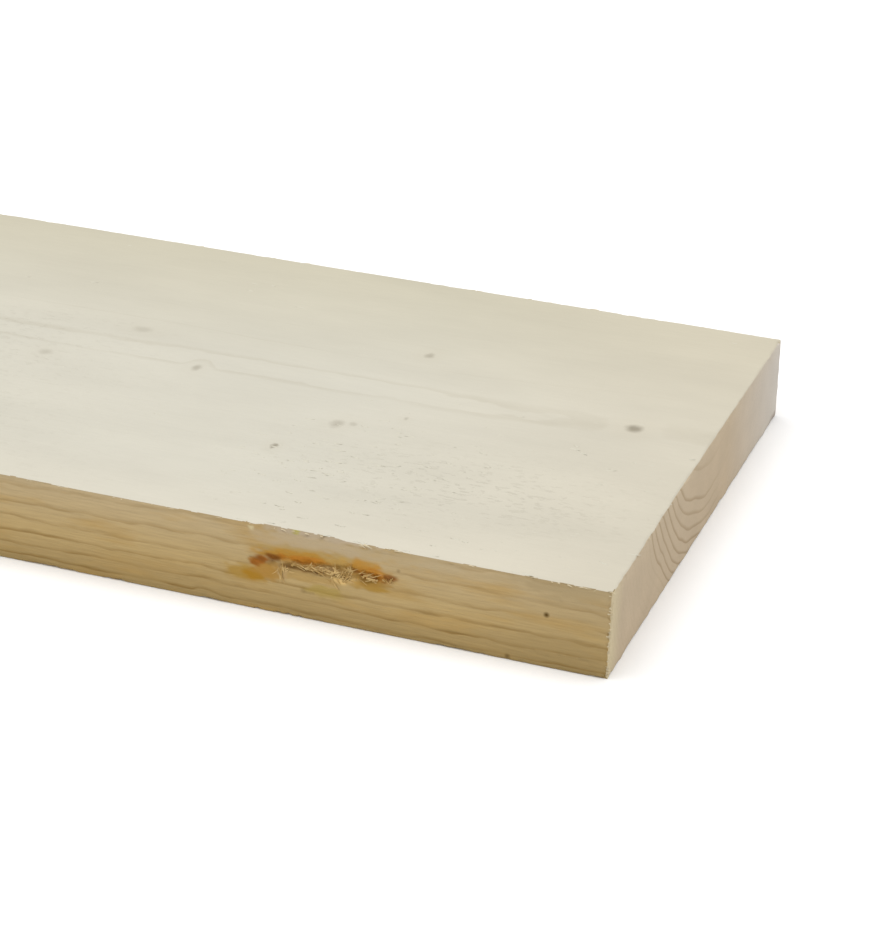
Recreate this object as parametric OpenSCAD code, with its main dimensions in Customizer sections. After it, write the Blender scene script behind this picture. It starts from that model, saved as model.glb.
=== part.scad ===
// Sawn softwood board, lying flat, cut square at both ends.
// Lengths in millimetres. The length runs along X, the width along Y and the thickness up Z.
// The origin is the middle of the underside.

/* [Board] */
// Length of the board between its two cross cuts
board_length = 1800; // [400:10:4800]
// Width of the board across its faces
board_width = 150; // [50:1:300]
// Thickness of the board
board_thickness = 22; // [16:1:75]
// Radius that sawing and handling leave on the four long arrises
arris_radius = 0.8; // [0.2:0.1:3]

/* [Resin pocket in the front edge] */
// Distance from the +X end to the middle of the pocket
pocket_from_end = 68; // [40:1:160]
// Distance from the upper face down to the middle of the pocket's mouth
pocket_below_top = 7.6; // [6:0.1:10]
// Length of the pocket's mouth along the edge
pocket_length = 37; // [10:1:60]
// Height of the pocket's mouth across the edge
pocket_mouth = 5.4; // [2:0.1:8]
// How far the pocket reaches into the edge
pocket_depth = 2.4; // [0.5:0.1:5]
// Rise of the pocket towards the +X end, where it follows the grain, in degrees
pocket_rise = 1; // [-4:0.5:4]

/* [Torn arris above the pocket] */
// Distance from the +X end to the middle of the tear
tear_from_end = 73; // [40:1:160]
// Length of the tear along the arris
tear_length = 24; // [8:1:60]
// Depth of the tear, from the sharp arris inwards at 45 degrees
tear_depth = 1; // [0.4:0.1:2]
// Radius of the torn hollow across the arris
tear_radius = 5; // [3:0.5:12]

/* [Hidden] */
$fn = 96;
end_x = board_length / 2;
front_y = -board_width / 2;

// Radius of the circle that has the given chord and the given rise above it.
function arc_radius(chord, rise) = (chord * chord / 4 + rise * rise) / (2 * rise);

// Section of the board across its length: a rectangle with four rounded arrises.
module board_section() {
    inset = [board_width / 2 - arris_radius, board_thickness / 2 - arris_radius];
    translate([0, board_thickness / 2]) {
        square([2 * inset.x, board_thickness], center = true);
        square([board_width, 2 * inset.y], center = true);
        for (side = [-1, 1], level = [-1, 1])
            translate([side * inset.x, level * inset.y]) circle(r = arris_radius);
    }
}

// Spindle along X, with an outline that bulges as a circular arc. Its axis stands off outside the
// material, on the -Y side, and it sinks in by "depth" over a stretch of "length".
module spindle(length, stand_off, depth) {
    belly = stand_off + depth;
    outline = arc_radius(length, depth);
    translate([0, -stand_off, 0])
        rotate([0, 90, 0]) rotate([0, 0, -90])
            rotate_extrude()
                intersection() {
                    translate([belly - outline, 0]) circle(r = outline);
                    translate([0, -length]) square(2 * length);
                }
}

// The hollow that the opened resin pocket leaves in the front edge. A pocket deeper than half the
// height of its mouth goes straight in before it rounds off.
module resin_pocket() {
    straight = max(0, pocket_depth - pocket_mouth / 2);
    rounded = pocket_depth - straight;
    stand_off = arc_radius(pocket_mouth, rounded) - rounded;
    outline = arc_radius(pocket_length, rounded);
    translate([end_x - pocket_from_end, front_y, board_thickness - pocket_below_top])
        rotate([0, -pocket_rise, 0]) translate([0, straight, 0]) {
            spindle(pocket_length, stand_off, rounded);
            if (straight > 0)
                rotate([90, 0, 0]) linear_extrude(height = straight + 1)
                    intersection_for(side = [-1, 1])
                        translate([0, side * (rounded - outline)]) circle(r = outline);
        }
}

// The stretch that has been torn off the upper front arris.
module torn_arris() {
    translate([end_x - tear_from_end, front_y, board_thickness])
        rotate([-45, 0, 0])
            spindle(tear_length, tear_radius - tear_depth, tear_depth);
}

// The whole board: one length of timber, its section carried from end to end.
module plank() {
    color([0.86, 0.82, 0.72])
        difference() {
            translate([-end_x, 0, 0])
                rotate([90, 0, 90]) linear_extrude(height = board_length) board_section();
            resin_pocket();
            torn_arris();
        }
}

plank();
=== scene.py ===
import math
from types import SimpleNamespace

import bmesh
import bpy
import mathutils
import numpy as np
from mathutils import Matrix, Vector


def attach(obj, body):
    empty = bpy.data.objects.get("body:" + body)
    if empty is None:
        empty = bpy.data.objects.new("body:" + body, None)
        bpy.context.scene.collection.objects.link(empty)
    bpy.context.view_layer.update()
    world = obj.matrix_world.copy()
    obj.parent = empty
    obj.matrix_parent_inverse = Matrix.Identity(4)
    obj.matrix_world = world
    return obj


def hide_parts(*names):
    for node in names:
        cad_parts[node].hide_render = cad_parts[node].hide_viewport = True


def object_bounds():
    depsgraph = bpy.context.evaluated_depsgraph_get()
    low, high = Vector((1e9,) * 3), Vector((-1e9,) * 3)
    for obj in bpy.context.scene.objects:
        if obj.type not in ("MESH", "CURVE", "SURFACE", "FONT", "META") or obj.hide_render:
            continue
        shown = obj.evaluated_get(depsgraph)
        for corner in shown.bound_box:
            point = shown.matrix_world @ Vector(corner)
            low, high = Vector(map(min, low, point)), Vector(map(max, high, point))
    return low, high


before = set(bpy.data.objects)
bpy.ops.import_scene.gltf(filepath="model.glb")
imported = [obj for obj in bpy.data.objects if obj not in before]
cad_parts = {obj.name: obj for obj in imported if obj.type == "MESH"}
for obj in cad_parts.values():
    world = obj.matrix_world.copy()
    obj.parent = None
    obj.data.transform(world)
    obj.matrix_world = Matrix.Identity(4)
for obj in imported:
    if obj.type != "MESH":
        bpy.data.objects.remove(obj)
cad_low, cad_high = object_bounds()

MM = 0.001
END_X = cad_high.x                            # the near end, with the resin pocket
FRONT_Y = cad_low.y                           # the edge with the resin pocket


# ---------------------------------------------------------------- camera
# The board is seen from its front corner, from a little above, through a long lens.
# The camera's place is measured from the lower front corner of the near end.
CAMERA_OFFSET = (145.2 * MM, -513.4 * MM, 311.0 * MM)
CAMERA_SWING = math.radians(20.015)           # to the left, from straight across the board
CAMERA_DIP = math.radians(26.003)
CAMERA_ROLL = math.radians(1.267)
LENS_MM = 107.86
FILM_WIDTH_MM = 36
NEAREST = 0.02                                # nothing nearer than this is drawn, in metres


def turned(axis, angle):
    """Rotation matrix about one axis by the right-hand rule: cosines on the diagonal, sines off it."""
    i, j = {"X": (1, 2), "Y": (2, 0), "Z": (0, 1)}[axis]
    matrix = np.eye(3)
    matrix[i, i] = matrix[j, j] = math.cos(angle)
    matrix[j, i], matrix[i, j] = math.sin(angle), -math.sin(angle)
    return matrix


camera = bpy.data.objects.new("camera", bpy.data.cameras.new("camera"))
bpy.context.scene.collection.objects.link(camera)
camera.data.lens = LENS_MM
camera.data.sensor_width = FILM_WIDTH_MM
camera.data.clip_start = NEAREST
# A camera at rest looks down -Z: it is rolled, tipped up to its dip below the horizon, then swung.
pose = np.eye(4)
tipped = turned("X", math.pi / 2 - CAMERA_DIP)
pose[:3, :3] = turned("Z", CAMERA_SWING) @ tipped @ turned("Z", CAMERA_ROLL)
pose[:3, 3] = np.array([END_X, FRONT_Y, cad_low.z]) + CAMERA_OFFSET
camera.matrix_world = mathutils.Matrix(pose.tolist())
bpy.context.scene.camera = camera


# ---------------------------------------------------------------- sawn board
# One length of spruce, sawn on four sides and cut across at both ends. The saw leaves the faces
# woolly and slightly wavy and tears the arrises here and there, and it has opened a resin pocket
# in the front edge.
FAR_X, BACK_Y, TOP_Z = cad_low.x, cad_high.y, cad_high.z
ARRIS_R = 0.5 * MM                            # rounding of the long arrises
NEAR_CUT = 0.5 * MM                           # the near cut stands about this far short of full length
POCKET_FROM_END, POCKET_BELOW_TOP = 68.5 * MM, 7.6 * MM
POCKET_LENGTH, POCKET_MOUTH, POCKET_DEPTH = 37 * MM, 5.4 * MM, 1.2 * MM
POCKET_RISE = math.tan(math.radians(1))
TEAR_FROM_END, TEAR_LENGTH, TEAR_LEG = 73.5 * MM, 22 * MM, 0.9 * MM


def smooth_noise(u, v, pitch_u, pitch_v, seed):
    """Random heights from -1 to 1 on a lattice of the given pitches, blended smoothly between."""
    size = 257                                # lattice points each way, after which it repeats
    lattice = np.random.default_rng(seed).uniform(-1, 1, (size, size))
    gu, gv = u / pitch_u, v / pitch_v
    iu, iv = np.floor(gu).astype(int), np.floor(gv).astype(int)
    fu, fv = gu - iu, gv - iv
    fu, fv = fu * fu * (3 - 2 * fu), fv * fv * (3 - 2 * fv)
    (i, next_i), (j, next_j) = ((at % size, (at + 1) % size) for at in (iu, iv))
    near = lattice[i, j] * (1 - fu) + lattice[next_i, j] * fu
    far = lattice[i, next_j] * (1 - fu) + lattice[next_i, next_j] * fu
    return near * (1 - fv) + far * fv


def smoothstep(low, high, value):
    """0 at low, 1 at high, level beyond them, with a smooth rise between."""
    t = np.clip((value - low) / (high - low), 0, 1)
    return t * t * (3 - 2 * t)


def cut_back(y, z):
    """How far the near cross cut stands back from the full length: 0.1 mm at its upper front corner,
    0.5 mm at the foot of the front and 0.62 mm all along the back, as a saw held slightly out of
    square leaves it."""
    behind = smoothstep(FRONT_Y, FRONT_Y + 70 * MM, y)
    return NEAR_CUT + (0.12 * behind - 0.4 * (1 - behind) * z / TOP_Z) * MM


def section_outline():
    """The section once round, from the foot of the front edge: points (y, z) and outward normals.
    Rows lie closest over the height of the pocket. The upper and lower face share their y rows, so
    that the ends can close on a middle line."""
    half_w, half_t = (BACK_Y - FRONT_Y) / 2 - ARRIS_R, TOP_Z / 2 - ARRIS_R
    pocket_foot, pocket_head = 7.4 * MM - TOP_Z / 2, 18.2 * MM - TOP_Z / 2
    front = np.concatenate([
        np.linspace(-half_t, pocket_foot, 8)[1:],
        np.linspace(pocket_foot, pocket_head, 35)[1:],
        np.linspace(pocket_head, half_t, 7)[1:-1],
    ])
    back = np.linspace(half_t, -half_t, 14)[1:-1]
    face = half_w * np.sin(np.linspace(-0.5, 0.5, 80)[1:-1] * math.pi)
    arc = np.radians(np.linspace(0, 90, 5))
    cos, sin = np.cos(arc), np.sin(arc)
    parts = [                                 # centre y, centre z, normal y, normal z
        (-half_w, front, -1, 0), (-half_w, half_t, -cos, sin),
        (face, half_t, 0, 1), (half_w, half_t, sin, cos),
        (half_w, back, 1, 0), (half_w, -half_t, cos, -sin),
        (-face, -half_t, 0, -1), (-half_w, -half_t, -sin, -cos),
    ]
    rows = np.concatenate([np.array(np.broadcast_arrays(*part), float) for part in parts], axis=1)
    return rows[0] + rows[2] * ARRIS_R, rows[1] + rows[3] * ARRIS_R + TOP_Z / 2, rows[2], rows[3]


def stations():
    """Distances from the near end of the cross-sections, close together where the detail is."""
    length = (END_X - FAR_X) / MM
    stretches = [                             # from and to in mm, and into how many steps
        (0, 3, 9), (3, 46, 42), (46, 93, 122), (93, 240, 95), (240, length - 3, 110),
        (length - 3, length, 5),
    ]
    return MM * np.concatenate([[0]] + [np.linspace(a, b, n + 1)[1:] for a, b, n in stretches])


row_y, row_z, normal_y, normal_z = section_outline()
from_end = stations()
S, ROW_Y = np.meshgrid(from_end, row_y, indexing="ij")
ROW_Z = np.broadcast_to(row_z, S.shape)
N_Y, N_Z = np.broadcast_to(normal_y, S.shape), np.broadcast_to(normal_z, S.shape)
X = END_X - S
front_flat, front_side = N_Y < -0.9, N_Y < -0.3   # the flat of the front edge, and with its arrises

# The saw's path wanders a little, and the teeth leave fainter ridges across the grain. The underside
# stays flat, so that the board lies on the floor.
around = ROW_Y + 3 * ROW_Z
wander = 0.10 * MM * (smooth_noise(S, around, 70 * MM, 30 * MM, 1) - 1)
ridges = 0.03 * MM * smooth_noise(S, around, 3.1 * MM, 60 * MM, 2)
Y = ROW_Y + (wander + ridges) * N_Y
Z = ROW_Z + (wander + ridges) * N_Z * (N_Z > 0)

# The resin pocket: a blunt spindle sunk into the front edge. "across" runs from -1 at its lower lip
# to 1 at its upper one and "along" from -1 to 1 between its tips. The upper wall slopes gently in,
# the lower one is steep.
along = (POCKET_FROM_END - S) / (POCKET_LENGTH / 2)
pocket_middle = TOP_Z - POCKET_BELOW_TOP + POCKET_RISE * (POCKET_FROM_END - S)
ragged = 1 + 0.16 * smooth_noise(S, Z, 2.2 * MM, 30 * MM, 3)
ragged = ragged + 0.08 * smooth_noise(S, Z, 0.9 * MM, 30 * MM, 4)
blunt = np.clip(1 - np.abs(along) ** 3.4, 0, 1) ** 0.55
across = (Z - pocket_middle) / np.maximum(POCKET_MOUTH / 2 * blunt * ragged, 0.01 * MM)
inside = smoothstep(1, -0.35, across) * smoothstep(-1, -0.5, across) * np.clip(1 - along ** 4, 0, 1)
inside = inside * front_flat
lumps = 1 + 0.35 * smooth_noise(S, Z, 1.5 * MM, 0.8 * MM, 5)
lumps = lumps + 0.2 * smooth_noise(S, Z, 4 * MM, 1.5 * MM, 6)
Y = Y + POCKET_DEPTH * inside * lumps

# Each long arris is broken to a small ragged flat at 45 degrees, of the given leg. A point whose
# distances from the two faces add up to less than the leg moves in along the diagonal onto it.
for side, level, seed in ((-1, 1, 11), (1, 1, 12), (1, -1, 13), (-1, -1, 14)):
    edge_y = FRONT_Y if side < 0 else BACK_Y
    edge_z = TOP_Z if level > 0 else 0
    leg = 0.40 * MM + 0.30 * MM * smooth_noise(S, 0 * S, 6 * MM, 1, seed)
    leg = leg + 0.30 * MM * smooth_noise(S, 0 * S, 1.3 * MM, 1, seed + 10)
    if (side, level) == (-1, 1):
        torn = np.clip(1 - ((S - TEAR_FROM_END) / (TEAR_LENGTH / 2)) ** 2, 0, 1) ** 0.5
        leg = leg + TEAR_LEG * torn * (1 + 0.35 * smooth_noise(S, 0 * S, 1.7 * MM, 1, 31))
    inset = np.abs(edge_y - Y) + np.abs(edge_z - Z)
    move = np.clip(leg - inset, 0, None) / 2
    Y, Z = Y - side * move, Z - level * move

# The near cut is slightly out of square, and the arrises of both cuts are chipped, most on the
# front edge and at its two corners.
X = X - cut_back(ROW_Y, ROW_Z) * np.clip(1 - S / (60 * MM), 0, 1)
chip = 0.35 * MM + 0.35 * MM * smooth_noise(around, 0 * S, 1.9 * MM, 1, 41) + 0.35 * MM * (N_Y < -0.5)
chip = chip + 0.35 * MM * np.clip(smooth_noise(around, 0 * S, 4 * MM, 1, 42), 0, 1)
chip = chip + 0.40 * MM * smooth_noise(ROW_Z, 0 * S, 0.8 * MM, 1, 43) * (N_Y < -0.5)
chip = chip + 0.8 * MM * np.exp(-((TOP_Z - ROW_Z) / (2 * MM)) ** 2) * front_side
chip = chip + 1.1 * MM * np.exp(-(ROW_Z / (1.2 * MM)) ** 2) * front_side
for end, inward in ((S, -1), (S[-1:] - S, 1)):
    move = np.clip(chip - end, 0, None) / 2
    X = X + inward * move
    Y, Z = Y - N_Y * move, Z - N_Z * move


def closed_board(X, Y, Z):
    """Vertices, quads and bake map of the tube of cross-sections, with both ends closed by loops
    that shrink onto the section's middle line. The tube fills the bake map but for a strip on the
    right, which holds the near end and then the far one."""
    count, rows = X.shape
    half_w, half_t = BACK_Y, TOP_Z / 2
    insets = np.array([0.25, 0.7, 1.4, 2.6, 4.2, 6.2, 8.4, 11.0]) * MM   # of the loops, from outside in
    tube_u, end_strips = 0.93, ((0.94, 0.035), (0.98, 0.018))
    i, j, k = np.arange(count - 1)[:, None], np.arange(rows), np.arange(len(insets))[:, None]
    next_j = (j + 1) % rows
    index = np.arange(count * rows).reshape(count, rows)
    quads = np.stack([index[i, j], index[i, next_j], index[i + 1, next_j], index[i + 1, j]], -1)
    quads = [quads.reshape(-1, 4)]
    u, v = i / (count - 1) * tube_u + 0 * j, j / rows + 0 * i
    du, dv = tube_u / (count - 1), 1 / rows
    maps = [np.stack([np.stack([u, v], -1), np.stack([u, v + dv], -1),
                      np.stack([u + du, v + dv], -1), np.stack([u + du, v], -1)], -2).reshape(-1, 4, 2)]
    points = [np.stack([X, Y, Z], -1).reshape(-1, 3)]
    total = count * rows
    for end, (first_u, width) in zip((0, count - 1), end_strips):
        loops = [np.stack([X[end], Y[end], Z[end]], -1)]
        for inset in insets:
            ring = loops[0].copy()
            ring[:, 1] *= (half_w - inset) / half_w
            if inset == insets[-1]:           # the rows of each edge meet in one point
                ring[:, 1] = np.clip(ring[:, 1], 1.12 * inset - half_w, half_w - 1.12 * inset)
            ring[:, 2] = half_t + (ring[:, 2] - half_t) * (half_t - inset) / half_t
            rough = 0.05 * MM * (smooth_noise(ring[:, 1], ring[:, 2], 2.5 * MM, 9 * MM, 51) - 1)
            near = END_X - cut_back(ring[:, 1], ring[:, 2]) + rough
            ring[:, 0] = FAR_X - rough if end else near
            loops.append(ring)
        ids = np.concatenate([index[end][None], total + np.arange(len(insets) * rows).reshape(-1, rows)])
        total += len(insets) * rows
        points.append(np.concatenate(loops[1:]))
        ring_quads = np.stack([ids[k, j], ids[k + 1, j], ids[k + 1, next_j], ids[k, next_j]], -1)
        ring_quads = ring_quads.reshape(-1, 4)
        places = np.array(loops)
        at = np.stack([first_u + width * places[..., 2] / TOP_Z,
                       0.01 + 0.98 * (places[..., 1] - FRONT_Y) / (BACK_Y - FRONT_Y)], -1)
        ring_maps = np.stack([at[k, j], at[k + 1, j], at[k + 1, next_j], at[k, next_j]], -2)
        ring_maps = ring_maps.reshape(-1, 4, 2)
        if end:
            ring_quads, ring_maps = ring_quads[:, ::-1], ring_maps[:, ::-1]
        quads.append(ring_quads)
        maps.append(ring_maps)
    return np.concatenate(points), quads, np.concatenate(maps)


def mesh_object(name, points, faces, corner_map=None):
    """A mesh object at the origin, from an array of points and an array of faces that all have the
    same number of corners."""
    mesh = bpy.data.meshes.new(name)
    mesh.vertices.add(len(points))
    mesh.vertices.foreach_set("co", points.astype(np.float32).ravel())
    mesh.loops.add(faces.size)
    mesh.loops.foreach_set("vertex_index", faces.astype(np.int32).ravel())
    mesh.polygons.add(len(faces))
    mesh.polygons.foreach_set("loop_start", np.arange(0, faces.size, faces.shape[1], dtype=np.int32))
    mesh.update(calc_edges=True)
    if corner_map is not None:
        layer = mesh.uv_layers.new(name="OFBake")
        layer.uv.foreach_set("vector", corner_map.astype(np.float32).ravel())
    mesh.shade_smooth()
    thing = bpy.data.objects.new(name, mesh)
    bpy.context.scene.collection.objects.link(thing)
    return thing


points, quads, corner_map = closed_board(X, Y, Z)
board = mesh_object("sawn_board", points, np.concatenate(quads), corner_map)

# Faces take their finish from where they lie: the wide faces (0), the edges with the broken arrises
# (1), and the cross cuts (2). Within 3 mm of a long arris the slope of the broken wood decides, but
# over the back corners of the near cut the finish of the wide faces runs on.
corners = points[quads[0]]
slope = np.cross(corners[:, 2] - corners[:, 0], corners[:, 3] - corners[:, 1])
slope = np.abs(slope[:, 2]) / np.linalg.norm(slope, axis=1)
wide = np.tile(np.abs(np.roll(normal_z, -1) + normal_z) / 2, len(from_end) - 1)
inner = np.tile(np.abs(np.roll(row_y, -1) + row_y) / 2 < BACK_Y - 3 * MM, len(from_end) - 1)
corner = (corners[:, 0, 0] > END_X - 2.5 * MM) & (corners[:, 0, 1] > 0)
slots = np.concatenate([np.where((wide > 0.3) & (inner | corner | (slope > 0.78)), 0, 1),
                        np.full(sum(len(q) for q in quads[1:]), 2)])
board.data.polygons.foreach_set("material_index", slots.astype(np.int32))


def colour(code):
    """An sRGB hex colour as linear red, green, blue and alpha 1, by the sRGB curve."""
    shares = [int(code[i:i + 2], 16) / 255 for i in (1, 3, 5)]
    return (*[c / 12.92 if c <= 0.04045 else ((c + 0.055) / 1.055) ** 2.4 for c in shares], 1)


# Resin in and round the pocket, soaked stains, pale torn wood and painted shade in the pocket's crevice,
# laid over one another in order.
# Each patch: colour, strength, its middle's place along the board from the near cut and its height
# (mm), half its length and half its height (mm), and its slope. Wood deeper in the pocket counts as
# lying a little higher.
PATCHES = [
    ("#9e875b", 0.38, -10.0, 6.2, 16.0, 2.8, 0.00),
    ("#a38959", 0.25, -112.0, 5.8, 24.0, 2.6, 0.02),
    ("#a7936d", 0.65, -9.0, 20.2, 13.0, 2.6, 0.00),
    ("#b6a482", 0.65, -46.0, 20.2, 13.0, 2.2, 0.00),
    ("#b6a383", 0.75, -70.0, 19.6, 17.0, 3.2, 0.00),
    ("#bba98e", 0.85, -70.0, 22.0, 17.0, 1.1, 0.00),
    ("#a78f49", 0.70, -67.0, 8.0, 5.6, 1.7, 0.00),
    ("#ae8e53", 0.60, -72.0, 10.8, 9.0, 1.6, 0.00),
    ("#a58033", 0.85, -55.6, 11.7, 5.2, 1.4, 0.08),
    ("#a6843d", 0.90, -86.2, 9.3, 6.6, 2.2, 0.05),
    ("#a47923", 1.00, -84.6, 9.0, 4.2, 1.9, 0.03),
    ("#aa813d", 1.00, -81.2, 10.7, 4.4, 2.6, 0.00),
    ("#ac8e51", 0.75, -69.0, 16.6, 17.0, 2.0, 0.04),
    ("#b18536", 1.00, -74.2, 15.7, 10.5, 2.0, 0.07),
    ("#ba9753", 0.90, -63.8, 15.6, 4.2, 2.0, 0.00),
    ("#b68638", 1.00, -57.2, 15.9, 5.6, 2.1, -0.08),
    ("#c49d5b", 0.95, -71.0, 13.2, 10.0, 1.5, 0.02),
    ("#c69d51", 0.95, -59.8, 13.4, 8.0, 1.7, 0.02),
    ("#b77927", 1.00, -72.8, 15.0, 7.2, 1.1, 0.04),
    ("#b37626", 0.95, -55.6, 14.7, 4.6, 1.5, -0.08),
    ("#9a6a2d", 0.80, -85.1, 12.7, 1.4, 0.7, 0.10),
    ("#925918", 1.00, -84.0, 12.5, 1.9, 1.5, 0.30),
    ("#9a5f21", 1.00, -82.7, 13.0, 1.9, 1.5, 0.20),
    ("#7c4a11", 0.95, -80.2, 14.3, 2.4, 1.2, 0.00),
    # Painted shade: a dark brown band and darker spots in the crevice, between the resin above and the
    # torn fibres below.
    ("#7a5626", 0.90, -72.2, 12.5, 1.2, 0.7, 0.00),
    ("#886735", 0.80, -74.0, 12.5, 5.6, 0.55, 0.00),
    ("#8d6e39", 0.60, -66.8, 12.1, 4.2, 0.50, 0.00),
    ("#836230", 0.85, -76.4, 12.7, 2.0, 0.7, 0.00),
    ("#836230", 0.80, -69.3, 12.5, 1.1, 0.6, 0.00),
    ("#8d6932", 0.75, -66.3, 14.4, 1.1, 0.7, 0.00),
    ("#8d6932", 0.70, -64.8, 12.6, 1.2, 0.6, 0.00),
    # From here on: resin, pale torn wood and flecks again.
    ("#7d501f", 0.85, -58.3, 14.2, 1.1, 0.8, 0.00),
    ("#81511f", 0.80, -55.3, 14.0, 1.0, 0.7, 0.00),
    ("#8d5d23", 0.80, -60.2, 14.9, 0.9, 0.7, 0.00),
    ("#d6a660", 0.70, -56.9, 14.3, 1.3, 0.5, 0.00),
    ("#d19b53", 0.70, -53.9, 15.0, 0.9, 0.5, 0.00),
    ("#875724", 0.90, -51.4, 14.7, 2.2, 1.1, -0.12),
    ("#9b7634", 0.80, -55.5, 12.5, 4.6, 1.0, 0.05),
    ("#bb9e6e", 0.70, -77.6, 10.6, 1.5, 2.2, -0.30),
    ("#e6c487", 0.80, -66.6, 13.7, 3.8, 0.9, 0.08),
    ("#e9c784", 0.85, -62.6, 12.6, 3.0, 2.0, 0.10),
    ("#b4aa53", 0.85, -74.4, 21.9, 1.3, 0.9, 0.00),
    ("#d0c398", 0.80, -85.3, 20.9, 0.8, 0.6, 0.00),
]
along_mm = (NEAR_CUT - S) / MM
height_mm = np.where(front_flat, Z + 0.5 * (Y - FRONT_Y), Z) / MM
edge_side = front_side | ((ROW_Y < FRONT_Y + 3 * MM) & (ROW_Z > TOP_Z / 2))
# A patch is an ellipse, full inside 0.45 of its half sizes and gone at 1.15, with a ragged outline.
laid, cover = np.zeros((*S.shape, 3)), np.zeros((*S.shape, 1))
for seed, (code, strength, x, z, half_x, half_z, rise) in enumerate(PATCHES, 71):
    reach = np.hypot((along_mm - x) / half_x, (height_mm - z - rise * (along_mm - x)) / half_z)
    reach = reach + 0.30 * smooth_noise(along_mm, height_mm, 1.7, 0.7, seed)
    share = (strength * smoothstep(1.15, 0.45, reach) * edge_side)[..., None]
    laid = laid * (1 - share) + np.array(colour(code)[:3]) * share
    cover = cover * (1 - share) + share
# Resin, stains, torn wood and the painted crevice shade go to the edge material as one colour attribute.
resin = np.zeros((len(points), 4), np.float32)
resin[:S.size] = np.concatenate([laid / np.maximum(cover, 1e-4), cover], -1).reshape(-1, 4)
board.data.attributes.new("resin", "FLOAT_COLOR", "POINT").data.foreach_set("color", resin.ravel())

# Wool: patches of the wide faces where the saw has pulled the fibres up, one of them near the end. There
# the face material raises tufts and darkens them with painted shade.
from_patch = (S - 45 * MM) / (48 * MM), (ROW_Y - FRONT_Y - 36 * MM) / (20 * MM)
patch = np.exp(-from_patch[0] ** 2 - from_patch[1] ** 2)
others = smoothstep(0.25, 0.75, smooth_noise(S, around, 160 * MM, 34 * MM, 55))
others = others * smoothstep(90 * MM, 240 * MM, S)
wool = np.zeros(len(points), np.float32)
wool[:S.size] = (np.maximum(patch, others) * (np.abs(N_Z) > 0.9)).ravel()
board.data.attributes.new("wool", "FLOAT", "POINT").data.foreach_set("value", wool)

# The points that meet on the middle line of each end are joined.
shell = bmesh.new()
shell.from_mesh(board.data)
bmesh.ops.remove_doubles(shell, verts=shell.verts, dist=0.002 * MM)
shell.to_mesh(board.data)
shell.free()
board.data.set_sharp_from_angle(angle=math.radians(48))


def add(tree, kind, inputs=None, **settings):
    """Adds a node with its settings. An input is a number, a colour, a socket, or a node, which gives
    its first output."""
    node = tree.nodes.new(kind)
    for name, value in settings.items():
        setattr(node, name, value)
    for key, value in (inputs or {}).items():
        value = value.outputs[0] if isinstance(value, bpy.types.Node) else value
        if isinstance(value, bpy.types.NodeSocket):
            tree.links.new(value, node.inputs[key])
        else:
            node.inputs[key].default_value = value
    return node


def pitch(length, width):
    """Mapping scale of a pattern whose marks are so many mm long with the grain and wide across it."""
    return 1 / (length * MM), 1 / (width * MM), 1 / (width * MM)


# The pith of the tree ran above the board, a little behind its middle. The rings are circles
# round it, slightly flattened, and every ring holds the same area of wood.
PITH_Y, PITH_Z = FRONT_Y + 84.2 * MM, 45.6 * MM
RING_AREA = 290e-6                            # m2 of section per ring, over pi
RING_START = 0.3                              # share of a ring by which the count is shifted
FLATTENING = 1.06
# How strongly each year's latewood shows, counted outwards from the pith.
YEARS = [0.0, 0.6, 0.4, 0.05, 0.85, 0.7, 0.8, 0.95, 0.9, 0.9, 0.85, 0.95, 0.4, 0.7, 0.5, 0.8,
         0.6, 0.9, 0.5, 0.7, 0.9, 0.6, 0.7, 0.9, 0.6, 0.8, 0.9, 0.6, 0.9, 1.0, 1.0]
KNOT_REACH = 45 * MM                          # the sheet of knots is this far from the pith
KNOT_PITCH = (95 * MM, 36 * MM)               # one knot in each such piece of the sheet
# Pin knots: distance from the near end, from the front edge, half length, half width (mm), darkness.
KNOTS = [
    (20.3, 82.0, 2.1, 2.1, 1.0), (81.7, 103.6, 1.3, 1.6, 0.55), (97.2, 39.4, 0.9, 1.3, 1.0),
    (88.0, 56.7, 1.7, 2.3, 0.45), (84.2, 57.9, 1.1, 1.2, 0.35), (133.3, 73.4, 1.2, 1.8, 0.55),
    (156.5, 90.0, 2.6, 1.7, 0.30), (173.0, 67.5, 1.9, 1.7, 0.35), (73.5, 65.8, 0.6, 0.9, 0.40),
]


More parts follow.
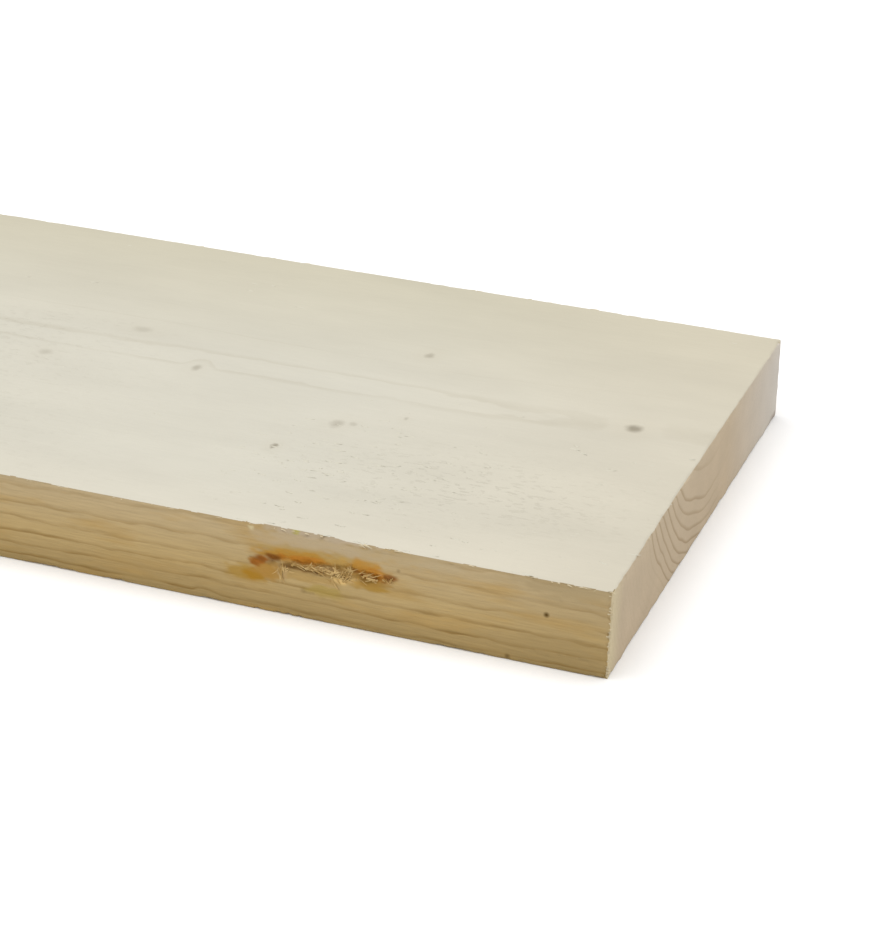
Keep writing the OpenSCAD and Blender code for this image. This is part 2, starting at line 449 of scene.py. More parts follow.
def growth(tree, bending, fray, pith_path, late_from):
    """The wood's own pattern in space. Ring number = (dy^2 + (flattening dz)^2) / ring area, with dy
    and dz measured from the pith; latewood is the last part of each ring, from the share late_from.
    Slow waves bend the rings up and down by the reach given by bending, and sideways by 1.3 of it;
    fine waves fray them. Pith_path says how far forward the pith lies at the near end and 85 mm in.
    Knots run out from the pith: they are spots on a sheet whose axes are the length and the angle
    round the pith."""
    where = add(tree, "ShaderNodeTexCoord").outputs["Object"]
    bent = where
    waves = ((pitch(200, 22.22), (0, 1.3 * bending, bending)), (pitch(9.09, 4.17), (0, fray, fray)))
    for scale, reach in waves:
        bend = add(tree, "ShaderNodeMapping", {"Vector": where, "Scale": scale})
        bend = add(tree, "ShaderNodeTexNoise", {"Vector": bend, "Scale": 1, "Detail": 2}).outputs["Color"]
        bend = add(tree, "ShaderNodeVectorMath", {0: bend, 1: (0.5, 0.5, 0.5)}, operation="SUBTRACT")
        bend = add(tree, "ShaderNodeVectorMath", {0: bend, 1: reach}, operation="MULTIPLY")
        bent = add(tree, "ShaderNodeVectorMath", {0: bent, 1: bend}, operation="ADD")
    bent_x, bent_y, bent_z = add(tree, "ShaderNodeSeparateXYZ", {0: bent}).outputs
    path = {0: bent_x, 1: END_X, 2: END_X - 85 * MM, 3: PITH_Y - pith_path[0], 4: PITH_Y - pith_path[1]}
    pith = add(tree, "ShaderNodeMapRange", path, interpolation_type="SMOOTHSTEP")
    dy = add(tree, "ShaderNodeMath", {0: bent_y, 1: pith}, operation="SUBTRACT")
    dz = add(tree, "ShaderNodeMath", {0: PITH_Z, 1: bent_z}, operation="SUBTRACT")
    dz = add(tree, "ShaderNodeMath", {0: dz, 1: FLATTENING}, operation="MULTIPLY")

    x, y, z = add(tree, "ShaderNodeSeparateXYZ", {0: where}).outputs
    out_y = add(tree, "ShaderNodeMath", {0: y, 1: PITH_Y}, operation="SUBTRACT")
    out_z = add(tree, "ShaderNodeMath", {0: PITH_Z, 1: z}, operation="SUBTRACT")
    angle = add(tree, "ShaderNodeMath", {0: out_y, 1: out_z}, operation="ARCTAN2")
    angle = add(tree, "ShaderNodeMath", {0: angle, 1: KNOT_REACH}, operation="MULTIPLY")
    sheet = add(tree, "ShaderNodeCombineXYZ", {0: x, 1: angle, 2: 0})
    frayed = add(tree, "ShaderNodeTexNoise", {"Vector": where, "Scale": 1 / (1.6 * MM), "Detail": 2})
    frayed = frayed.outputs["Color"]
    frayed = add(tree, "ShaderNodeVectorMath", {0: frayed, 1: (0.5, 0.5, 0.5)}, operation="SUBTRACT")
    reach = (1.1 * MM, 1.0 * MM, 0)
    frayed = add(tree, "ShaderNodeVectorMath", {0: frayed, 1: reach}, operation="MULTIPLY")
    sheet = add(tree, "ShaderNodeVectorMath", {0: sheet, 1: frayed}, operation="ADD")
    # Beyond the listed ones, one pin knot stands in each cell of a random net over the sheet. Some
    # 280 mm from the near end the net's knots begin.
    net = (1 / KNOT_PITCH[0], 1 / KNOT_PITCH[1], 0)
    cells = add(tree, "ShaderNodeMapping", {"Vector": sheet, "Scale": net})
    cells = add(tree, "ShaderNodeTexVoronoi", {"Vector": cells, "Scale": 1}, voronoi_dimensions="2D")
    size = add(tree, "ShaderNodeSeparateColor", {0: cells.outputs["Color"]})
    away = add(tree, "ShaderNodeMath", {0: cells.outputs["Distance"], 1: size}, operation="DIVIDE")
    beyond = add(tree, "ShaderNodeMapRange", {0: bent_x, 1: END_X - 270 * MM, 2: END_X - 290 * MM})
    core = add(tree, "ShaderNodeMapRange", {0: away, 1: 0.055, 2: 0.015, 3: 0, 4: beyond},
               interpolation_type="SMOOTHSTEP")
    swell = add(tree, "ShaderNodeMapRange", {0: away, 1: 0.18, 2: 0.03, 3: 0, 4: beyond},
                interpolation_type="SMOOTHERSTEP")
    for from_near, from_front, half_length, half_width, darkness in KNOTS:
        # Out is the knot's place on the upper face from the pith, and turn how far the sheet moves on
        # for a step across the face there.
        out = (FRONT_Y + from_front * MM - PITH_Y, PITH_Z - TOP_Z)
        turn = KNOT_REACH * out[1] / (out[0] ** 2 + out[1] ** 2)
        half = (half_length * MM, half_width * MM * turn)
        spot = (END_X - from_near * MM, KNOT_REACH * math.atan2(*out))
        away = add(tree, "ShaderNodeMapping", {"Vector": sheet, "Scale": (1 / half[0], 1 / half[1], 0),
                                               "Location": (-spot[0] / half[0], -spot[1] / half[1], 0)})
        away = add(tree, "ShaderNodeVectorMath", {0: away}, operation="LENGTH").outputs["Value"]
        dark = add(tree, "ShaderNodeMapRange", {0: away, 1: 1.45, 2: 0.25, 3: 0, 4: darkness},
                   interpolation_type="SMOOTHSTEP")
        bulge = add(tree, "ShaderNodeMapRange", {0: away, 1: 5.0, 2: 0.6, 3: 0, 4: darkness ** 0.5},
                    interpolation_type="SMOOTHERSTEP")
        core = add(tree, "ShaderNodeMath", {0: core, 1: dark}, operation="MAXIMUM")
        swell = add(tree, "ShaderNodeMath", {0: swell, 1: bulge}, operation="MAXIMUM")

    squares = [add(tree, "ShaderNodeMath", {0: d, 1: d}, operation="MULTIPLY") for d in (dy, dz)]
    area = add(tree, "ShaderNodeMath", {0: squares[0], 1: squares[1]}, operation="ADD")
    count = {0: area, 1: 1 / RING_AREA, 2: -RING_START}
    ring = add(tree, "ShaderNodeMath", count, operation="MULTIPLY_ADD")
    # Beside a knot the rings swell outwards by up to 0.22 of a ring.
    ring = add(tree, "ShaderNodeMath", {0: swell, 1: 0.22, 2: ring}, operation="MULTIPLY_ADD")
    phase = add(tree, "ShaderNodeMath", {0: ring}, operation="FRACT")
    darkest = 0.9                             # the latewood's darkest part, as a share of the ring
    rise = add(tree, "ShaderNodeMapRange", {0: phase, 1: late_from, 2: darkest},
               interpolation_type="SMOOTHSTEP")
    fall = add(tree, "ShaderNodeMapRange", {0: phase, 1: 1, 2: darkest}, interpolation_type="SMOOTHSTEP")
    late = add(tree, "ShaderNodeMath", {0: rise, 1: fall}, operation="MULTIPLY")
    year = add(tree, "ShaderNodeMath", {0: ring, 1: len(YEARS)}, operation="DIVIDE")
    year = add(tree, "ShaderNodeValToRGB", {0: year})
    year.color_ramp.interpolation = "CONSTANT"
    stops = year.color_ramp.elements
    for number, strength in enumerate(YEARS):
        stop = stops.new(number / len(YEARS)) if number else stops[0]
        stop.color = (strength, strength, strength, 1)
    stops.remove(stops[-1])
    late = add(tree, "ShaderNodeMath", {0: late, 1: year}, operation="MULTIPLY")
    return SimpleNamespace(where=where, x=x, y=y, z=z, ring=ring, late=late, core=core, swell=swell)


def new_finish(name, specular, roughness=None, code=None):
    """A material with its even values set: how much it mirrors, how rough it is, and its colour. What
    changes over the surface is left to be linked."""
    finish = bpy.data.materials.new(name)
    finish.use_nodes = True
    surface = finish.node_tree.nodes["Principled BSDF"]
    surface.inputs["Specular IOR Level"].default_value = specular
    if roughness is not None:
        surface.inputs["Roughness"].default_value = roughness
    if code is not None:
        surface.inputs["Base Color"].default_value = colour(code)
    return finish, finish.node_tree, surface


# Rough-sawn spruce face: the torn fibre ends have dried to a pale woolly cream, in which the rings
# are barely to be seen and only the pin knots stand out.
def rough_sawn_face():
    """Cream, palest along the front and darker and warmer at the back, a painted fall-off of the light
    across the width, and warmer near the end, with faint latewood over the pith, cloudy patches, fine
    fibres, woolly dashes darkened by painted shade, and knots."""
    face, tree, surface = new_finish("spruce, rough-sawn face", 0.2, 0.85)
    wood = growth(tree, 4.2 * MM, 0.6 * MM, (0, 4.5 * MM), 0.88)
    # Painted light: the face is palest along the front and darker towards the back, for the light falling
    # off across the board's width.
    front = add(tree, "ShaderNodeMapRange", {0: wood.y, 1: FRONT_Y, 2: FRONT_Y + 26 * MM},
                interpolation_type="SMOOTHSTEP")
    back = add(tree, "ShaderNodeMapRange", {0: wood.y, 1: FRONT_Y + 80 * MM, 2: BACK_Y})
    near = add(tree, "ShaderNodeMapRange", {0: wood.x, 1: END_X - 90 * MM, 2: END_X, 3: 0, 4: 0.5})
    tone = add(tree, "ShaderNodeMixRGB", {0: front, 1: colour("#c9c4b5"), 2: colour("#c5c1b3")})
    tone = add(tree, "ShaderNodeMixRGB", {0: back, 1: tone, 2: colour("#bdb7a3")})
    tone = add(tree, "ShaderNodeMixRGB", {0: near, 1: tone, 2: colour("#c4bba7")})
    cloud = add(tree, "ShaderNodeMapping", {"Vector": wood.where, "Scale": pitch(45.45, 15.63)})
    cloud = add(tree, "ShaderNodeTexNoise", {"Vector": cloud, "Scale": 1, "Detail": 3})
    cloud = add(tree, "ShaderNodeMapRange", {0: cloud, 1: 0.3, 2: 0.7, 3: 0.965, 4: 1.03})
    tone = add(tree, "ShaderNodeVectorMath", {0: tone, 1: cloud}, operation="MULTIPLY")

    # Latewood shows where the face lies nearly along the rings, in broken lengths.
    beside = add(tree, "ShaderNodeMath", {0: wood.y, 1: PITH_Y}, operation="SUBTRACT")
    beside = add(tree, "ShaderNodeMath", {0: beside}, operation="ABSOLUTE")
    shown = add(tree, "ShaderNodeMapRange", {0: beside, 1: 13 * MM, 2: 20 * MM, 3: 0.30, 4: 0.06})
    broken = add(tree, "ShaderNodeMapping", {"Vector": wood.where, "Scale": pitch(38.46, 16.67)})
    broken = add(tree, "ShaderNodeTexNoise", {"Vector": broken, "Scale": 1, "Detail": 2})
    broken = add(tree, "ShaderNodeMapRange", {0: broken, 1: 0.42, 2: 0.56, 3: 0.5, 4: 1})
    lines = add(tree, "ShaderNodeMath", {0: wood.late, 1: shown}, operation="MULTIPLY")
    lines = add(tree, "ShaderNodeMath", {0: lines, 1: broken}, operation="MULTIPLY")
    tone = add(tree, "ShaderNodeMixRGB", {0: lines, 1: tone, 2: colour("#9f9680")})

    # Real fibres are finer than 0.05 mm: they are drawn as bundles 0.45 mm wide and 7 mm long, as coarse
    # as they need to show. Where the wool attribute says so, short tufts stand up, and painted shade
    # darkens them a little against the wood between them, for the shade of raised fibres.
    fibre = add(tree, "ShaderNodeMapping", {"Vector": wood.where, "Scale": pitch(6.993, 0.45)})
    fibre = add(tree, "ShaderNodeTexNoise", {"Vector": fibre, "Scale": 1, "Detail": 4, "Roughness": 0.6})
    shade = add(tree, "ShaderNodeMapRange", {0: fibre, 1: 0.3, 2: 0.7, 3: 0.982, 4: 1.012})
    tone = add(tree, "ShaderNodeVectorMath", {0: tone, 1: shade}, operation="MULTIPLY")
    wool = add(tree, "ShaderNodeAttribute", attribute_name="wool").outputs["Fac"]
    tuft = add(tree, "ShaderNodeMapping", {"Vector": wood.where, "Scale": pitch(2.597, 0.9)})
    tuft = add(tree, "ShaderNodeTexNoise", {"Vector": tuft, "Scale": 1, "Detail": 3, "Roughness": 0.55})
    tuft = add(tree, "ShaderNodeMapRange", {0: tuft, 1: 0.56, 2: 0.70}, interpolation_type="SMOOTHSTEP")
    dash = add(tree, "ShaderNodeMath", {0: tuft, 1: wool}, operation="MULTIPLY")
    # Painted shade of the tufts: up to 0.16 of the way to a darker cream.
    dark = add(tree, "ShaderNodeMath", {0: dash, 1: 0.16}, operation="MULTIPLY")
    tone = add(tree, "ShaderNodeMixRGB", {0: dark, 1: tone, 2: colour("#a19a84")})

    halo = add(tree, "ShaderNodeMath", {0: wood.swell, 1: 0.08}, operation="MULTIPLY")
    tone = add(tree, "ShaderNodeMixRGB", {0: halo, 1: tone, 2: colour("#b1a58d")})
    knot = add(tree, "ShaderNodeMath", {0: wood.core, 1: 0.80}, operation="MULTIPLY")
    tone = add(tree, "ShaderNodeMixRGB", {0: knot, 1: tone, 2: colour("#877f6e")})
    height = add(tree, "ShaderNodeMath", {0: dash, 1: 1.3, 2: fibre}, operation="MULTIPLY_ADD")
    bump = add(tree, "ShaderNodeBump", {"Height": height, "Distance": 0.10 * MM, "Strength": 0.8})
    tree.links.new(tone.outputs[0], surface.inputs["Base Color"])
    tree.links.new(bump.outputs[0], surface.inputs["Normal"])
    return face


# Dark specks of the front edge: distance from the near end, height, radius (mm), darkness.
SPECKS = [(15.1, 13.2, 0.7, 1.0), (23.8, 0.9, 0.7, 0.6), (50.0, 16.9, 0.5, 0.35), (72.9, 7.3, 0.8, 0.3)]


# Sawn spruce edge: cut along the outer rings, so that the latewood runs the length of it in wavy tan
# lines. Resin has soaked into it round the pocket, and shade is painted into the pocket's crevice.
def sawn_edge():
    """Tan, deeper towards the foot, partly as painted shade, with latewood, fibres, amber streaks,
    specks, and the colour of the resin attribute, which also holds painted shade in the pocket's crevice,
    laid over it as thickly as its alpha says."""
    edge, tree, surface = new_finish("spruce, sawn edge", 0.1)
    wood = growth(tree, 1.6 * MM, 0.9 * MM, (0.95 * MM, 0.95 * MM), 0.62)
    # Painted shade, in part: lighter towards the top and darker towards the foot, partly for shade under
    # the light from above and partly the wood's own tone.
    foot = add(tree, "ShaderNodeMapRange", {0: wood.z, 1: 0.5 * MM, 2: 9 * MM})
    head = add(tree, "ShaderNodeMapRange", {0: wood.z, 1: 10 * MM, 2: 21 * MM})
    near = add(tree, "ShaderNodeMapRange", {0: wood.x, 1: END_X - 34 * MM, 2: END_X - 4 * MM,
                                            3: 1, 4: 0.89})
    tone = add(tree, "ShaderNodeMixRGB", {0: foot, 1: colour("#a48c5d"), 2: colour("#b79e6e")})
    tone = add(tree, "ShaderNodeMixRGB", {0: head, 1: tone, 2: colour("#baa57f")})
    tone = add(tree, "ShaderNodeVectorMath", {0: tone, 1: near}, operation="MULTIPLY")
    streak = add(tree, "ShaderNodeMapping", {"Vector": wood.where, "Scale": pitch(22.22, 3.846)})
    streak = add(tree, "ShaderNodeTexNoise", {"Vector": streak, "Scale": 1, "Detail": 3})
    warm = add(tree, "ShaderNodeMapRange", {0: streak, 1: 0.50, 2: 0.68, 3: 0, 4: 0.55})
    tone = add(tree, "ShaderNodeMixRGB", {0: warm, 1: tone, 2: colour("#b29155")})
    # Latewood shows in broken lengths, strongest towards the foot.
    broken = add(tree, "ShaderNodeMapping", {"Vector": wood.where, "Scale": pitch(14.286, 3.03)})
    broken = add(tree, "ShaderNodeTexNoise", {"Vector": broken, "Scale": 1, "Detail": 2})
    broken = add(tree, "ShaderNodeMapRange", {0: broken, 1: 0.38, 2: 0.62, 3: 0.18, 4: 0.58})
    lower = add(tree, "ShaderNodeMapRange", {0: wood.z, 1: 7 * MM, 2: 16 * MM, 3: 1.7, 4: 0.85})
    lines = add(tree, "ShaderNodeMath", {0: wood.late, 1: broken}, operation="MULTIPLY")
    lines = add(tree, "ShaderNodeMath", {0: lines, 1: lower}, operation="MULTIPLY")
    tone = add(tree, "ShaderNodeMixRGB", {0: lines, 1: tone, 2: colour("#8e7343")})
    beyond = add(tree, "ShaderNodeMapRange", {0: wood.x, 1: END_X - 270 * MM, 2: END_X - 290 * MM,
                                              3: 0, 4: 0.7})
    knot = add(tree, "ShaderNodeMath", {0: wood.core, 1: beyond}, operation="MULTIPLY")
    tone = add(tree, "ShaderNodeMixRGB", {0: knot, 1: tone, 2: colour("#72532f")})
    # Fibres are drawn as bundles 0.5 mm wide and 9 mm long, as coarse as they need to show.
    fibre = add(tree, "ShaderNodeMapping", {"Vector": wood.where, "Scale": pitch(9.009, 0.5)})
    fibre = add(tree, "ShaderNodeTexNoise", {"Vector": fibre, "Scale": 1, "Detail": 4, "Roughness": 0.6})
    shade = add(tree, "ShaderNodeMapRange", {0: fibre, 1: 0.3, 2: 0.7, 3: 0.91, 4: 1.07})
    tone = add(tree, "ShaderNodeVectorMath", {0: tone, 1: shade}, operation="MULTIPLY")
    for from_near, height, radius, darkness in SPECKS:
        spot = (END_X - from_near * MM, FRONT_Y, height * MM)
        away = add(tree, "ShaderNodeVectorMath", {0: wood.where, 1: spot}, operation="DISTANCE")
        fade = {0: away.outputs["Value"], 1: 1.3 * radius * MM, 2: 0.4 * radius * MM, 3: 0, 4: darkness}
        dark = add(tree, "ShaderNodeMapRange", fade)
        tone = add(tree, "ShaderNodeMixRGB", {0: dark, 1: tone, 2: colour("#5d4721")})
    # This attribute brings in the pocket's resin, stains, pale torn wood and the painted shade of its
    # crevice.
    resin = add(tree, "ShaderNodeAttribute", attribute_name="resin")
    tone = add(tree, "ShaderNodeMixRGB", {0: resin.outputs["Alpha"], 1: tone, 2: resin.outputs["Color"]})
    # The broken arrises, torn across the fibres, are duller than the sawn wood beside them.
    tilt = add(tree, "ShaderNodeSeparateXYZ", {0: add(tree, "ShaderNodeNewGeometry").outputs["Normal"]})
    torn = add(tree, "ShaderNodeMapRange", {0: tilt.outputs["Z"], 1: 0.15, 2: 0.8, 3: 1, 4: 0.74})
    tone = add(tree, "ShaderNodeVectorMath", {0: tone, 1: torn}, operation="MULTIPLY")
    bump = add(tree, "ShaderNodeBump", {"Height": fibre, "Distance": 0.18 * MM, "Strength": 0.9})
    tree.links.new(tone.outputs[0], surface.inputs["Base Color"])
    tree.links.new(bump.outputs[0], surface.inputs["Normal"])
    gloss = add(tree, "ShaderNodeMapRange", {0: resin.outputs["Alpha"], 1: 0.5, 2: 1, 3: 0.8, 4: 0.45})
    tree.links.new(gloss.outputs[0], surface.inputs["Roughness"])
    return edge


# Cross-cut spruce: the saw has cut the fibres through, which look at the eye end on, duller and
# pinker than the faces, with the rings as nested arcs.
def cross_cut():
    """Pinkish beige, paler at the front arris and greyer towards the back, with latewood arcs from the
    front to the middle, a fine grit and a darker lower back corner."""
    cut, tree, surface = new_finish("spruce, cross-cut end grain", 0.2, 0.9)
    wood = growth(tree, 4.2 * MM, 0.2 * MM, (0, 0), 0.58)
    front = add(tree, "ShaderNodeMapRange", {0: wood.y, 1: FRONT_Y + 2 * MM, 2: FRONT_Y + 9 * MM})
    back = add(tree, "ShaderNodeMapRange", {0: wood.y, 1: FRONT_Y + 98 * MM, 2: BACK_Y})
    tone = add(tree, "ShaderNodeMixRGB", {0: front, 1: colour("#c6b796"), 2: colour("#bba98f")})
    tone = add(tree, "ShaderNodeMixRGB", {0: back, 1: tone, 2: colour("#c6bfb5")})
    rim = add(tree, "ShaderNodeMapRange", {0: wood.z, 1: 17 * MM, 2: TOP_Z, 3: 0, 4: 0.15})
    tone = add(tree, "ShaderNodeMixRGB", {0: rim, 1: tone, 2: colour("#c8ba9d")})
    foot = add(tree, "ShaderNodeMapRange", {0: wood.z, 1: 0, 2: 11 * MM, 3: 1.08, 4: 1})
    tone = add(tree, "ShaderNodeVectorMath", {0: tone, 1: foot}, operation="MULTIPLY")
    cloud = add(tree, "ShaderNodeTexNoise", {"Vector": wood.where, "Scale": 1 / (9.09 * MM), "Detail": 3})
    cloud = add(tree, "ShaderNodeMapRange", {0: cloud, 1: 0.3, 2: 0.7, 3: 0.96, 4: 1.03})
    tone = add(tree, "ShaderNodeVectorMath", {0: tone, 1: cloud}, operation="MULTIPLY")
    # The arcs show best up to the twelfth ring, and hardly at all behind the pith.
    outer = add(tree, "ShaderNodeMapRange", {0: wood.ring, 1: 13.6, 2: 12.0, 3: 0.08, 4: 0.62})
    inner = add(tree, "ShaderNodeMapRange", {0: wood.y, 1: FRONT_Y + 72 * MM, 2: FRONT_Y + 94 * MM,
                                             3: 1, 4: 0.08})
    shown = add(tree, "ShaderNodeMath", {0: outer, 1: inner}, operation="MULTIPLY")
    lines = add(tree, "ShaderNodeMath", {0: wood.late, 1: shown}, operation="MULTIPLY")
    tone = add(tree, "ShaderNodeMixRGB", {0: lines, 1: tone, 2: colour("#937c5b")})
    # The lower back corner of the cut is darker, up to 0.6 of the way to a grey brown.
    corner = (END_X, BACK_Y - 2 * MM, 0.4 * MM)
    low_corner_dark = add(tree, "ShaderNodeVectorMath", {0: wood.where, 1: corner}, operation="SUBTRACT")
    low_corner_dark = add(tree, "ShaderNodeVectorMath", {0: low_corner_dark, 1: (1, 0.3, 1)}, operation="MULTIPLY")
    low_corner_dark = add(tree, "ShaderNodeVectorMath", {0: low_corner_dark}, operation="LENGTH").outputs["Value"]
    low_corner_dark = add(tree, "ShaderNodeMapRange", {0: low_corner_dark, 1: 2.2 * MM, 2: 0.4 * MM, 3: 0, 4: 0.6})
    tone = add(tree, "ShaderNodeMixRGB", {0: low_corner_dark, 1: tone, 2: colour("#7c6557")})
    # The pores of the cut fibres are finer than 0.05 mm: their grit is drawn 0.6 mm coarse, to show.
    grit = add(tree, "ShaderNodeTexNoise", {"Vector": wood.where, "Scale": 1 / (0.6 * MM), "Detail": 3})
    shade = add(tree, "ShaderNodeMapRange", {0: grit, 1: 0.3, 2: 0.7, 3: 0.97, 4: 1.03})
    tone = add(tree, "ShaderNodeVectorMath", {0: tone, 1: shade}, operation="MULTIPLY")
    bump = add(tree, "ShaderNodeBump", {"Height": grit, "Distance": 0.08 * MM, "Strength": 0.7})
    tree.links.new(tone.outputs[0], surface.inputs["Base Color"])
    tree.links.new(bump.outputs[0], surface.inputs["Normal"])
    return cut


for finish in (rough_sawn_face(), sawn_edge(), cross_cut()):
    board.data.materials.append(finish)
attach(board, "root")
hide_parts("plank")


# ---------------------------------------------------------------- torn fibres in the resin pocket
# Bundles of wood fibre pulled out of the pocket's lower lip by the saw, bent across its mouth.
# They are the same spruce as the board, dried paler, and still fast at one end.
def slivers(name, roots, ways, lifts, widths, facing):
    """Tapered needles. From t = 0 at the root to 1 at the tip the middle line is root + way t
    + lift t^2, and the half width falls as 1 - t^2.5; each section is a flattened diamond with its
    flat side turned the way given by facing."""
    t = np.array([0, 0.3, 0.6, 0.85, 1])[None, :, None]
    centre = roots[:, None] + ways[:, None] * t + lifts[:, None] * t * t
    unit = ways / np.linalg.norm(ways, axis=1, keepdims=True)
    side = np.cross(facing, unit)
    side /= np.linalg.norm(side, axis=1, keepdims=True)
    rise = np.cross(unit, side)
    half = widths[:, None, None] * (1 - 0.96 * t ** 2.5) / 2
    ring = np.stack([centre + side[:, None] * half, centre + rise[:, None] * half * 0.5,
                     centre - side[:, None] * half, centre - rise[:, None] * half * 0.5], 2)
    ids = np.arange(ring[..., 0].size).reshape(ring.shape[:3])
    turn = np.roll(ids, -1, axis=2)
    walls = np.stack([ids[:, :-1], turn[:, :-1], turn[:, 1:], ids[:, 1:]], -1).reshape(-1, 4)
    needles = mesh_object(name, ring.reshape(-1, 3), np.concatenate([walls, ids[:, 0, ::-1], ids[:, -1]]))
    needles.data.shade_flat()
    return needles


pick = np.random.default_rng(5)
# Tufts: place along the board from the near cut, height, spread of both, depth from and to, how
# many fibres, their usual direction along and up, and length (mm).
TUFTS = [
    (-77.9, 12.0, 0.6, 0.4, -0.08, 0.05, 8, 0.05, -1.0, 3.6),
    (-77.0, 11.6, 0.8, 0.4, -0.08, 0.1, 6, 0.8, 0.3, 2.0),
    (-74.5, 13.0, 1.2, 0.4, 0.2, 0.8, 8, 1.0, 0.10, 2.0),
    (-70.0, 13.1, 2.2, 0.5, 0.1, 0.8, 19, 1.0, 0.10, 2.2),
    (-66.0, 13.3, 1.8, 0.6, 0.0, 0.6, 26, 1.0, 0.25, 2.2),
    (-65.6, 11.6, 1.0, 0.4, -0.08, 0.1, 8, 0.3, -0.8, 1.4),
    (-62.5, 12.4, 1.4, 0.7, -0.1, 0.3, 26, 0.5, 0.5, 2.2),
    (-61.4, 13.4, 0.7, 0.7, -0.1, 0.4, 14, 0.1, 1.0, 2.0),
    (-57.4, 13.4, 1.8, 0.5, 0.0, 0.6, 19, 1.0, -0.1, 2.0),
    (-51.8, 13.9, 0.8, 0.4, -0.1, 0.3, 6, 0.8, 0.4, 1.2),
]
root, way, bow, width = [], [], [], []
for x, z, spread_x, spread_z, shallow, deep, count, go_x, go_z, length in TUFTS:
    at = np.stack([x + spread_x * pick.normal(size=count), pick.uniform(shallow, deep, count),
                   z + spread_z * pick.normal(size=count)], 1)
    go = np.stack([go_x + 0.45 * pick.normal(size=count), pick.uniform(-0.2, 0.05, count),
                   go_z + 0.4 * pick.normal(size=count)], 1)
    go *= (length * pick.uniform(0.5, 1.3, count) / np.linalg.norm(go, axis=1))[:, None]
    root.append(at * MM + [END_X - NEAR_CUT, FRONT_Y, 0])
    way.append(go * MM)
    bow.append(np.stack([pick.uniform(-1.0, 1.0, count), pick.uniform(0, 0.3, count),
                         pick.uniform(-1.3, 1.1, count)], 1) * MM)
    width.append(pick.uniform(0.18, 0.42, count) * MM)
fibres = [np.concatenate(part) for part in (root, way, bow, width)]
pocket_fibres = slivers("pocket_fibres", *fibres, (0, -1, 0))

# Torn spruce fibre: straw-coloured and dull, and darker in patches where more resin clings to it.
torn_fibre, tree, surface = new_finish("spruce, torn fibre", 0.3, 0.75)
where = add(tree, "ShaderNodeTexCoord").outputs["Object"]
patch = add(tree, "ShaderNodeTexNoise", {"Vector": where, "Scale": 1 / (1.8 * MM), "Detail": 2})
patch = add(tree, "ShaderNodeMapRange", {0: patch, 1: 0.35, 2: 0.65})
tone = add(tree, "ShaderNodeMixRGB", {0: patch, 1: colour("#a8864b"), 2: colour("#d3b67c")})
tree.links.new(tone.outputs[0], surface.inputs["Base Color"])
pocket_fibres.data.materials.append(torn_fibre)
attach(pocket_fibres, "root")


# ---------------------------------------------------------------- splinters along the arrises
# Fibres that the saw has left standing where it came out of the wood: along the upper and the
# front arris of the near cut, and lying loosely along the long arrises.
def splinter_row(count, at, go, lift, width):
    """Roots, ways, lifts and widths of one row of splinters. At, go and lift each give the low and
    the high corner in mm of the box from which every splinter's root, way or lift is picked at
    random, and width gives the narrowest and the widest."""
    spread = [pick.uniform(*np.array(pair, float), (count, 3)) * MM for pair in (at, go, lift)]
    return (*spread, pick.uniform(*width, count) * MM)


end_x, front, back, far = END_X / MM, FRONT_Y / MM, BACK_Y / MM, FAR_X / MM
top = TOP_Z / MM
rows = [
    # The upper arris of the near cut, its front third and the rest.
    splinter_row(26, ((end_x - 1.2, front + 4, top - 0.5), (end_x - 0.6, front + 48, top - 0.25)),
                 ((0.1, -0.3, -0.3), (0.7, 0.3, 0.0)), ((0, 0, -0.4), (0, 0, 0)), (0.25, 0.55)),
    splinter_row(14, ((end_x - 1.3, front + 48, top - 0.5), (end_x - 0.9, back - 1, top - 0.25)),
                 ((0.1, -0.3, -0.3), (0.6, 0.3, 0.0)), ((0, 0, -0.3), (0, 0, 0)), (0.25, 0.5)),
    # The upright front arris of the near cut.
    splinter_row(60, ((end_x - 1.3, front + 0.3, 1), (end_x - 0.6, front + 0.9, top - 0.8)),
                 ((0.1, -0.25, -0.5), (0.7, 0.5, 0.5)), ((-0.2, -0.1, -0.2), (0.2, 0.3, 0.2)),
                 (0.3, 0.6)),
    # The upper front arris, up to 240 mm from the near end and beyond.
    splinter_row(90, ((end_x - 240, front + 0.15, top - 0.4), (end_x - 1, front + 0.6, top - 0.2)),
                 ((-2.2, -0.3, -0.15), (2.2, 0.1, 0.05)), ((0, -0.2, -0.1), (0, 0, 0.05)), (0.12, 0.32)),
    splinter_row(260, ((far + 1, front + 0.15, top - 0.4), (end_x - 240, front + 0.6, top - 0.2)),
                 ((-3.0, -0.3, -0.15), (3.0, 0.1, 0.08)), ((0, -0.2, -0.1), (0, 0, 0.1)), (0.2, 0.5)),
    # The upper back arris.
    splinter_row(260, ((far + 1, back - 0.6, top - 0.4), (end_x - 1, back - 0.15, top - 0.2)),
                 ((-3.0, -0.1, -0.15), (3.0, 0.3, 0.08)), ((0, 0, -0.1), (0, 0.2, 0.1)), (0.2, 0.5)),
    # The upper arris of the far cut.
    splinter_row(60, ((far + 0.1, front + 2, top - 0.5), (far + 0.4, back - 2, top - 0.15)),
                 ((-1.1, -0.3, -0.25), (-0.3, 0.3, 0.1)), ((0, 0, -0.4), (0, 0, 0)), (0.2, 0.5)),
    # The near end of the torn stretch.
    splinter_row(7, ((end_x - 61.5, front + 0.2, top - 0.3), (end_x - 57.5, front + 0.6, top - 0.1)),
                 ((1.0, -0.7, -0.5), (2.5, -0.1, -0.1)), ((0, -0.2, -0.5), (0, 0, -0.1)), (0.2, 0.45)),
]
splinters = [np.concatenate(part) for part in zip(*rows)]
arris_splinters = slivers("arris_splinters", *splinters, (0.3, -0.5, 1))

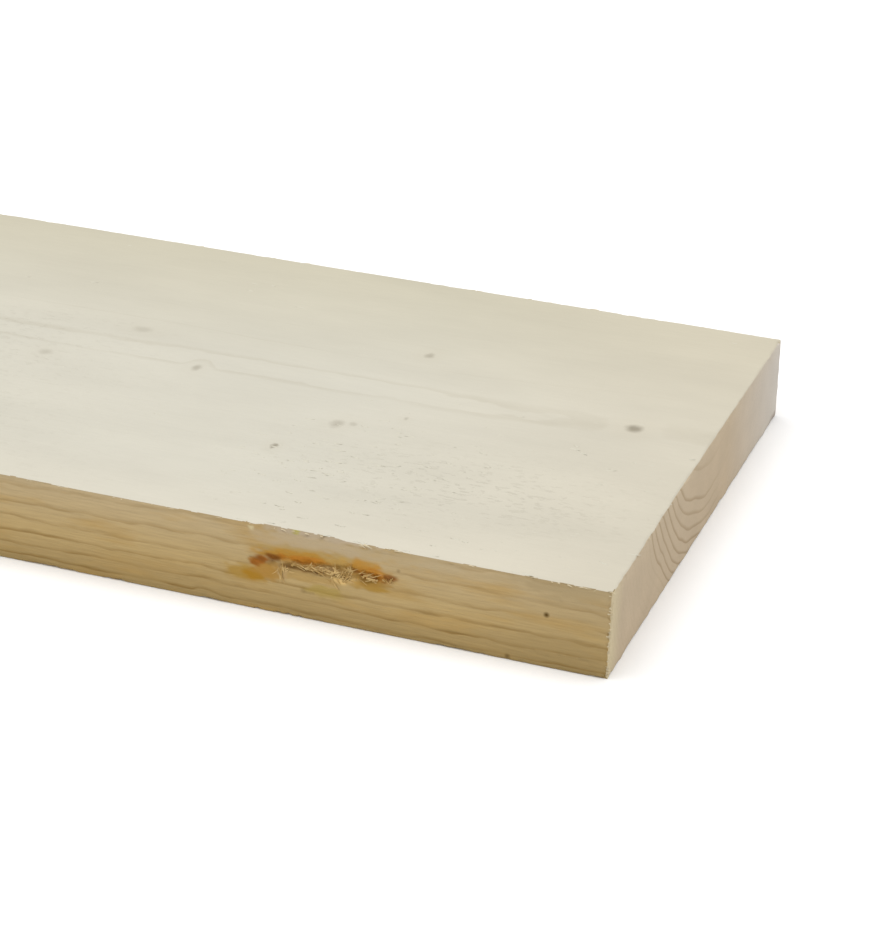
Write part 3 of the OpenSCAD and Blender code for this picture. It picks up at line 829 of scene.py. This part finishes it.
# Dry splinter of spruce: as pale as the wool of the faces, a little yellower.
dry_splinter = new_finish("spruce, dry splinter", 0.2, 0.8, "#c8ba9b")[0]
arris_splinters.data.materials.append(dry_splinter)
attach(arris_splinters, "root")


# ---------------------------------------------------------------- raised fibres on the upper face
# The saw lifts single fibres and small tufts, which dry and stand a few tenths of a millimetre
# proud. They are thickest in one woolly patch near the end.
ROOT_DEPTH = 0.18                             # how deep in the upper face the fibres stand, in mm


def raised_rows(count, x_range, y_middle, y_spread):
    """Roots, ways, lifts and widths of the fibres over one stretch of the upper face. They lie along
    the board either way, thickest at y_middle and thinning out to both sides by a bell curve."""
    at = np.stack([pick.uniform(*x_range, count), y_middle + y_spread * pick.normal(size=count),
                   np.full(count, top - ROOT_DEPTH)], 1)
    at[:, 1] = np.clip(at[:, 1], front + 1, back - 1)
    go = np.stack([pick.uniform(0.7, 2.8, count) * pick.choice([-1, 1], count),
                   pick.uniform(-0.35, 0.35, count), pick.uniform(0, 0.06, count)], 1)
    lift = np.stack([0 * at[:, 0], pick.uniform(-0.5, 0.5, count), pick.uniform(0, 0.12, count)], 1)
    return at * MM, go * MM, lift * MM, pick.uniform(0.3, 0.7, count) * MM


rows = [raised_rows(260, (end_x - 105, end_x - 2), front + 36, 17),
        raised_rows(80, (end_x - 240, end_x - 2), front + 75, 60),
        raised_rows(500, (far + 3, end_x - 240), front + 75, 60)]
lifted = [np.concatenate(part) for part in zip(*rows)]
raised_fibres = slivers("raised_fibres", *lifted, (0, 0, 1))

# Raised wool of spruce: the same pale cream as the face under it.
raised_wool = new_finish("spruce, raised wool", 0.2, 0.85, "#c8c4b4")[0]
raised_fibres.data.materials.append(raised_wool)
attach(raised_fibres, "root")


# ---------------------------------------------------------------- floor and light
# The board lies on a floor of white paper, under one broad soft light overhead, with an even fill
# from all round.
FLOOR_REACH, FLOOR_GAP = 30, 0.02 * MM        # metres from the middle; clear of the board's underside
FILL, LAMP_WATTS = 0.6, 48
LAMP_SIZE, LAMP_PLACE = (3.0, 2.0), (0.6, -0.2, 2.2)   # in metres
floor_corners = FLOOR_REACH * np.array([[-1, -1, 0], [1, -1, 0], [1, 1, 0], [-1, 1, 0]], float)
floor = mesh_object("floor", floor_corners - [0, 0, FLOOR_GAP], np.array([[0, 1, 2, 3]]))
paper = new_finish("white paper floor", 0.1, 0.9, "#fbfbfb")[0]
floor.data.materials.append(paper)

sky = bpy.data.worlds.new("studio")
sky.use_nodes = True
sky.node_tree.nodes["Background"].inputs["Color"].default_value = (1, 1, 1, 1)
sky.node_tree.nodes["Background"].inputs["Strength"].default_value = FILL
bpy.context.scene.world = sky

lamp = bpy.data.objects.new("overhead light", bpy.data.lights.new("overhead light", "AREA"))
bpy.context.scene.collection.objects.link(lamp)
lamp.data.shape = "RECTANGLE"
lamp.data.size, lamp.data.size_y = LAMP_SIZE
lamp.data.energy = LAMP_WATTS
lamp.location = LAMP_PLACE

bpy.context.scene.view_settings.view_transform = "Standard"
